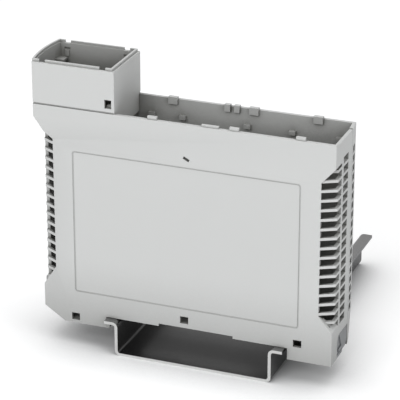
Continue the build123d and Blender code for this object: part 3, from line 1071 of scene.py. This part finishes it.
    def posts(self) -> List[Solid]:
        """The post beside the tower and its thinner neck.

        Returns:
            Both.
        """
        (low, shoulder, top), (front, neck, back) = self.post_z, self.post_y
        return [Solid.boxes([(self.post_x, (front, back), (low, shoulder))]),
                Solid.boxes([(self.post_x, (neck, back), (low, top))])]

    def arms(self) -> Solid:
        """Long arms of the back shell, each with an end that fills the top of its window.

        Returns:
            The arms.
        """
        y = (self.plate + self.arm_back, self.split + self.arm_root)
        spans = []
        for x, z in self.windows:
            low = z + self.window_size[1] / 2 - self.arm_drop
            spans.append((around(x, self.arm_width), y, (low, low + self.arm_high)))
        return Solid.boxes(spans)

    def slab(self, y: Pair) -> Solid:
        """Everything between two depths."""
        return Solid.boxes([((-5 * PAST, self.width + 5 * PAST), y, self.slab_z)])

    def shells(self) -> Tuple[Solid, Solid]:
        """Part the hull into its two mouldings.

        Returns:
            The front and the back shell.
        """
        body = self.hull()
        front = body & self.slab((self.slab_y[0], self.split - self.seam))
        back = body & self.slab((self.split + self.seam, self.slab_y[1]))
        for cut in self.face_cuts():
            front = front - cut
        opening = self.cutout(0.0, -PAST)
        front = front - Solid.prism(opening, Axis.X, (self.width - self.cut_deep, self.width + self.past_end))
        front = front - Solid.boxes([self.catch_slot])
        front = front + self.front_rim()
        step = ((self.width - self.step_from, self.width + self.past_end),
                (self.plate, self.split + self.past_split),
                (self.height - self.step_down, self.step_top))
        front = front - Solid.boxes([step])
        for post in self.posts():
            front = front + post
        return front, (back + self.back_rim()) + self.arms()

    @cached_property
    def plastic(self) -> bpy.types.Material:
        """The one material of all three mouldings."""
        return self.finish.build()

    def dress(self) -> List[bpy.types.Object]:
        """Build the two shells.

        Returns:
            The shells.
        """
        front, back = self.shells()
        return [front.piece("front_moulding", self.plastic, "enclosure", "front_shell"),
                back.piece("back_moulding", self.plastic, "enclosure", "back_shell")]


@dataclass
class Tower:
    """The raised frame at the left end, a moulding that plugs into the open top."""

    housing: Housing
    width: float = 34.0
    top: float = 107.7
    seat: float = 0.05
    # Shadow groove round the foot: lower and upper edge from the housing's rim, and depth
    groove: Triple = (-0.2, 0.7, 0.4)

    # Lip inside the ledge, its notches, pockets and pads; the front notch is given from the front,
    # the others from the back, and all heights from the tower's top
    ledge: float = 1.0
    lip_wall: float = 0.8
    lip: Pair = (-0.7, 0.9)
    notches: Pair = (3.9, 28.9)
    notch_width: float = 2.5
    front_notch: Tuple[Pair, Pair] = ((0.9, 2.2), (-0.3, 2.0))
    back_notch: Tuple[Pair, Pair] = ((2.2, -1.0), (-0.15, 2.0))
    pocket: Tuple[Pair, Pair] = ((2.2, 0.6), (-2.5, -1.7))
    pad_width: float = 1.8
    pad: Tuple[Pair, Pair] = ((1.8, 0.65), (-5.2, -2.7))
    shelf_x: Pair = (0.3, 4.1)
    shelf: Tuple[Pair, Pair] = ((5.6, 0.65), (-6.4, -5.6))
    window: Span = ((30.0, 32.8), (-2.0, 2.0), (92.75, 96.25))

    # Skirts that reach into the housing, and bridges over its rim, with heights from that rim
    play: float = 0.15
    skirt_x: Pair = (3.9, 29.2)
    skirt_wall: float = 1.0
    skirt_z: Pair = (-4.7, 2.6)
    bridge_y: Pair = (0.7, 2.0)
    bridge_z: Pair = (1.0, 2.6)
    partition_z: Pair = (-7.0, 1.3)

    def from_top(self, z: Pair) -> Pair:
        """Two heights that are given from the tower's top."""
        return (self.top + z[0], self.top + z[1])

    def from_rim(self, z: Pair) -> Pair:
        """Two heights that are given from the housing's rim."""
        return (self.housing.height + z[0], self.housing.height + z[1])

    def from_back(self, y: Pair) -> Pair:
        """Two depths that are given from the back."""
        return (self.housing.depth - y[0], self.housing.depth - y[1])

    def plan(self, sides: Tuple[Pair, Pair], z: Pair) -> Solid:
        """Upright solid with a bowed left side.

        Args:
            sides: X and Y range, without the bow.
            z: Bottom and top.

        Returns:
            The solid.
        """
        x, y = sides
        half = self.housing.depth / 2
        left = []
        for step in range(self.housing.bow_steps + 1):
            at = y[1] + (y[0] - y[1]) * step / self.housing.bow_steps
            left.append((x[0] - self.housing.bow * max(0.0, 1 - ((at - half) / half) ** 2), at))
        return Solid.prism(left + [(x[1], y[0]), (x[1], y[1])], Axis.Z, z)

    def ring(self, outer: Tuple[Pair, Pair], inner: Tuple[Pair, Pair], z: Pair) -> Solid:
        """Closed wall with a bowed left side.

        Args:
            outer: X and Y range of its outside.
            inner: X and Y range of its inside.
            z: Bottom and top.

        Returns:
            The wall.
        """
        return self.plan(outer, z) - self.plan(inner, (z[0] - PAST, z[1] + PAST))

    def wall_and_lip(self) -> Solid:
        """Outer wall with the lip that stands inside its ledge.

        Returns:
            The wall and the lip, without notches.
        """
        wide, deep, wall = self.width, self.housing.depth, self.housing.wall
        outer = ((0.0, wide), (0.0, deep))
        inner = ((wall, wide - wall), (wall, deep - wall))
        body = self.ring(outer, inner, (self.housing.height + self.seat, self.top))
        outer = ((0.0, wide - self.ledge), (self.ledge, deep))
        inner = ((self.lip_wall, wide - self.ledge - self.lip_wall),
                 (self.ledge + self.lip_wall, deep - self.lip_wall))
        return body + self.ring(outer, inner, self.from_top(self.lip))

    def pads(self) -> Solid:
        """Pads and the shelf on the inside of the back wall.

        Returns:
            The pads.
        """
        y, z = self.from_back(self.pad[0]), self.from_top(self.pad[1])
        spans = [(around(x, self.pad_width), y, z) for x in self.notches]
        spans.append((self.shelf_x, self.from_back(self.shelf[0]), self.from_top(self.shelf[1])))
        return Solid.boxes(spans)

    def cuts(self) -> List[Solid]:
        """Shadow groove round the foot, notches and pockets of the lip, and the window.

        Returns:
            What is cut from the wall and the lip.
        """
        wide, deep = self.width, self.housing.depth
        low, high, sunk = self.groove
        outer = ((-PAST, wide + PAST), (-PAST, deep + PAST))
        inner = ((sunk, wide + 2 * PAST), (sunk, deep - sunk))
        groove = self.ring(outer, inner, self.from_rim((low, high)))
        ranges = [self.front_notch]
        ranges += [(self.from_back(y), z) for y, z in (self.back_notch, self.pocket)]
        spans = [(around(x, self.notch_width), y, self.from_top(z))
                 for x in self.notches for y, z in ranges]
        return [groove, Solid.boxes(spans), Solid.boxes([self.window])]

    def skirts(self) -> List[Solid]:
        """Skirts along both long walls, the bridges above them and the partition.

        Returns:
            What plugs into the housing.
        """
        fit = self.housing.plate + self.play
        back = self.from_back((fit, fit))[0]
        skirt_z, bridge_z = self.from_rim(self.skirt_z), self.from_rim(self.bridge_z)
        skirts = [(self.skirt_x, (fit, fit + self.skirt_wall), skirt_z),
                  (self.skirt_x, (back - self.skirt_wall, back), skirt_z)]
        near, far = self.bridge_y
        bridges = [(self.skirt_x, y, bridge_z) for y in (self.bridge_y, self.from_back((far, near)))]
        partition = ((self.width - self.housing.wall, self.width), (fit, back),
                     self.from_rim(self.partition_z))
        return [Solid.boxes(skirts), Solid.boxes(bridges), Solid.boxes([partition])]

    def solid(self) -> Solid:
        """Shape the whole moulding.

        Returns:
            The tower.
        """
        body = self.wall_and_lip() + self.pads()
        for cut in self.cuts():
            body = body - cut
        for skirt in self.skirts():
            body = body + skirt
        return body

    def dress(self) -> List[bpy.types.Object]:
        """Build the tower.

        Returns:
            The tower alone in a list.
        """
        return [self.solid().piece("tower_moulding", self.housing.plastic, "enclosure", "tower")]


@dataclass
class FootCatch:
    """The sliding catch and its hidden spring."""

    housing: Housing
    nose: float = 102.6
    nose_bevel: float = 0.8
    outer: float = 122.3
    tongue_y: Pair = (9.6, 18.4)
    tongue_z: Pair = (1.6, 3.15)
    lug: Span = ((110.2, 111.6), (10.4, 17.6), (1.7, 6.7))

    # Pull plate, its raised rear part from a slanted fold on, and the lip rolled under the foot
    play: float = 0.3
    plate_low: float = 1.0
    plate_back: float = 1.5
    plate_sunk: float = 0.4
    fold: Tuple[Pair, Pair] = ((9.6, 9.8), (14.6, 0.0))
    fold_reach: Pair = (22.0, 12.0)
    lip_y: Pair = (8.0, 15.5)
    lip_x: Triple = (-2.4, -1.2, -0.5)
    lip_z: Tuple[float, float, float, float] = (-0.6, -0.9, 0.4, 0.6)

    # Spring behind the lug
    spring_x: Pair = (111.75, 117.05)
    spring_at: Pair = (14.0, 5.05)
    spring_radius: float = 1.5
    spring_wire: float = 0.5
    spring_turns: int = 4
    turn_steps: int = 20
    wire_sides: int = 8

    finish: StampedSteel = field(default_factory=StampedSteel)

    def pull_plate(self) -> List[Solid]:
        """Plate that fills the opening in the foot, and its raised rear part.

        Returns:
            Both.
        """
        inside = self.outer - self.plate_back
        outline = self.housing.cutout(self.play, self.plate_low)
        high, low = self.fold
        back, top = self.fold_reach
        zone = [high, low, (back, low[1]), (back, top), (high[0], top)]
        fold = Solid.prism(zone, Axis.X, (self.outer - 1.0, self.outer + 1.0))
        return [Solid.prism(outline, Axis.X, (inside, self.outer - self.plate_sunk)),
                Solid.prism(outline, Axis.X, (inside, self.outer)) & fold]

    def solid(self) -> Solid:
        """Shape the tongue with its nose, the spring's lug, the pull plate and the rolled lip.

        Returns:
            The catch.
        """
        low, high = self.tongue_z
        nose, bevel, outer = self.nose, self.nose_bevel, self.outer
        side = [(nose, high), (nose, low + bevel), (nose + bevel, low), (outer, low), (outer, high)]
        body = Solid.prism(side, Axis.Y, self.tongue_y) + Solid.boxes([self.lug])
        for plate in self.pull_plate():
            body = body + plate
        inner, bend, edge = (outer + x for x in self.lip_x)
        root, tip, roll, throat = self.lip_z
        lip = [(inner, low), (inner, root), (edge, tip), (edge, roll), (bend, throat), (bend, low)]
        return body + Solid.prism(lip, Axis.Y, self.lip_y)

    def coil(self) -> Solid:
        """Shape the wire of the spring.

        Returns:
            The wire.
        """
        start, end = self.spring_x
        radius, thick = self.spring_radius, self.spring_wire / 2
        steps = self.spring_turns * self.turn_steps
        advance = (end - start - self.spring_wire) / (2 * math.pi * self.spring_turns)
        rings = []
        for step in range(steps + 1):
            turn = 2 * math.pi * self.spring_turns * step / steps
            outward = Vector((0.0, math.cos(turn), math.sin(turn)))
            along = Vector((advance, -radius * math.sin(turn), radius * math.cos(turn)))
            across = along.normalized().cross(outward)
            middle = Vector((start + thick + advance * turn, *self.spring_at)) + outward * radius
            ring = []
            for side in range(self.wire_sides):
                angle = 2 * math.pi * side / self.wire_sides
                spoke = outward * math.cos(angle) + across * math.sin(angle)
                ring.append(tuple(middle + spoke * thick))
            rings.append(ring)
        return Solid.rings(rings)

    def dress(self) -> List[bpy.types.Object]:
        """Build the catch and the spring, which sits between the catch and the housing and belongs to no
        body.

        Returns:
            The two pieces.
        """
        material = self.finish.build()
        catch = self.solid().piece("sliding_catch", material, "catch", "foot_catch")
        coil = self.coil().piece("coil_spring", material, None, "catch_spring", edge=0.0)
        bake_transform(coil)
        return [catch, coil]


@dataclass
class Rail:
    """The folded rail that carries the housing."""

    node: str = "rail"
    finish: ZincPlate = field(default_factory=ZincPlate)

    def dress(self) -> List[bpy.types.Object]:
        """Give the rail its finish.

        Returns:
            The rail alone in a list.
        """
        return [dress_node(self.node, self.finish.build())]


def dress_node(name: str, material: bpy.types.Material) -> bpy.types.Object:
    """Put a material on every slot of one carried-over piece.

    Args:
        name: The piece's node name.
        material: Its new finish.

    Returns:
        The piece.
    """
    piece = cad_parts[name]
    if not piece.material_slots:
        piece.data.materials.append(material)
    for place in piece.material_slots:
        place.material = material
    return piece


@dataclass(frozen=True)
class Lamp:
    """One square softbox."""

    name: str
    place: Triple
    size: float
    power: float


@dataclass
class Studio:
    """Camera, floor, lamps and surroundings.

    Attributes:
        focal: Focal length in millimetres.
        sensor: Width of the sensor in millimetres.
        clip: Nearest and farthest distance that is seen.
        eye: Place of the camera.
        turn: Turn of the camera to its left, in degrees.
        tilt: Tilt of the camera downward, in degrees.
        floor_half: Half the side of the floor.
        world_level: Brightness of the surroundings.
        target: Where the lamps point.
        lamps: The softboxes.
    """

    focal: float = 201.59
    sensor: float = 36.0
    clip: Pair = (0.01, 50.0)
    eye: Triple = (0.28343, -0.78179, 0.40513)
    turn: float = 21.1592
    tilt: float = 23.2298
    floor_half: float = 3.0
    world_level: float = 0.34
    target: Triple = (0.0, 0.0, 0.05)
    lamps: Tuple[Lamp, ...] = (
        Lamp("front_softbox", (-0.3, -1.9, 1.1), 1.3, 24.5),
        Lamp("top_softbox", (0.0, -0.2, 1.9), 1.6, 11.0),
        Lamp("right_softbox", (1.9, -0.6, 0.9), 1.2, 14.5),
    )

    def camera(self) -> bpy.types.Object:
        """Make the camera at the photograph's place.

        Returns:
            The camera.
        """
        data = bpy.data.cameras.new("camera")
        data.lens, data.sensor_width = self.focal, self.sensor
        data.clip_start, data.clip_end = self.clip
        made = bpy.data.objects.new("camera", data)
        made.location = self.eye
        made.rotation_euler = (math.radians(90 - self.tilt), 0.0, math.radians(self.turn))
        bpy.context.scene.collection.objects.link(made)
        bpy.context.scene.camera = made
        return made

    def floor(self) -> bpy.types.Object:
        """Make the pale floor under the rail.

        Returns:
            The floor.
        """
        half = self.floor_half
        mesh = bpy.data.meshes.new("floor")
        corners = [(-half, -half, 0), (half, -half, 0), (half, half, 0), (-half, half, 0)]
        mesh.from_pydata(corners, [], [(0, 1, 2, 3)])
        mesh.materials.append(StudioWhite().build())
        made = bpy.data.objects.new("floor", mesh)
        bpy.context.scene.collection.objects.link(made)
        return made

    def light(self) -> List[bpy.types.Object]:
        """Hang the softboxes.

        Returns:
            The lamps.
        """
        made = []
        for lamp in self.lamps:
            data = bpy.data.lights.new(lamp.name, "AREA")
            data.shape, data.size, data.energy = "SQUARE", lamp.size, lamp.power
            hung = bpy.data.objects.new(lamp.name, data)
            hung.location = lamp.place
            away = Vector(lamp.place) - Vector(self.target)
            hung.rotation_euler = away.to_track_quat("Z", "Y").to_euler()
            bpy.context.scene.collection.objects.link(hung)
            made.append(hung)
        return made

    def surroundings(self) -> bpy.types.World:
        """Make the white surroundings.

        Returns:
            The world.
        """
        world = bpy.data.worlds.new("surroundings")
        bpy.context.scene.world = world
        g = Graph(world)
        seen = g.node("ShaderNodeLightPath", output="Is Camera Ray")
        seen = seen | g.node("ShaderNodeLightPath", output="Is Transmission Ray")
        both = g.chosen(seen, g.background(self.world_level), g.background(1.0))
        g.node("ShaderNodeOutputWorld", {}, {"Surface": both})
        return world

    def build(self) -> None:
        """Set up everything round the object."""
        self.camera()
        self.floor()
        self.light()
        self.surroundings()
        bpy.context.scene.view_settings.view_transform = "Standard"


def main() -> None:
    """Build the studio, dress each sub-assembly and report it."""
    logging.basicConfig(level=logging.INFO, format="%(message)s")
    Studio().build()
    housing = Housing()
    for assembly in (housing, Tower(housing), FootCatch(housing), Rail()):
        for piece in assembly.dress():
            LOG.info("%s: %s", type(assembly).__name__, piece.name)


if __name__ == "__main__":
    main()
